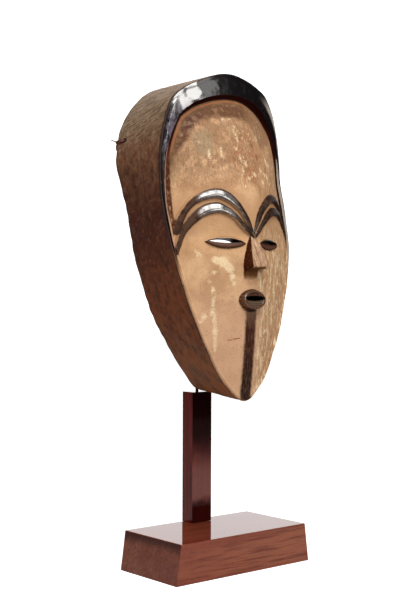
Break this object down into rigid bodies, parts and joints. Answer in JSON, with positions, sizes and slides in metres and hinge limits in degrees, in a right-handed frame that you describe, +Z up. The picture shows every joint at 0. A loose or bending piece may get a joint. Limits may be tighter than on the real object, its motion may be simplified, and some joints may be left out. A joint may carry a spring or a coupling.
{
  "type": "carved wooden face mask on a display stand",
  "caption": "Carved wooden face mask with a long chin and arched double brows, hollow behind, held upright by a rod and post on a sloped wooden plinth.",
  "frame": {"origin": "middle of the plinth's underside", "axes": "+Z up, the mask's face looks towards -Y, +X is the viewer's right seen from the front"},
  "size_m": [0.205, 0.1558, 0.5742],
  "materials": {
    "carved_wood": "worn pale clay over dark carved wood, with black band and brows and dark brown side walls",
    "lacing": "old stiff reddish-brown lacing, worn",
    "rod_metal": "thin black painted steel rod, satin",
    "stand_wood": "polished dark red hardwood with fine straight grain"
  },
  "bodies": {
    "root": {"mask": "carved_wood", "lacing_stub": "lacing", "stand_rod": "rod_metal", "stand_post": "stand_wood", "stand_base": "stand_wood"}
  },
  "joints": []
}
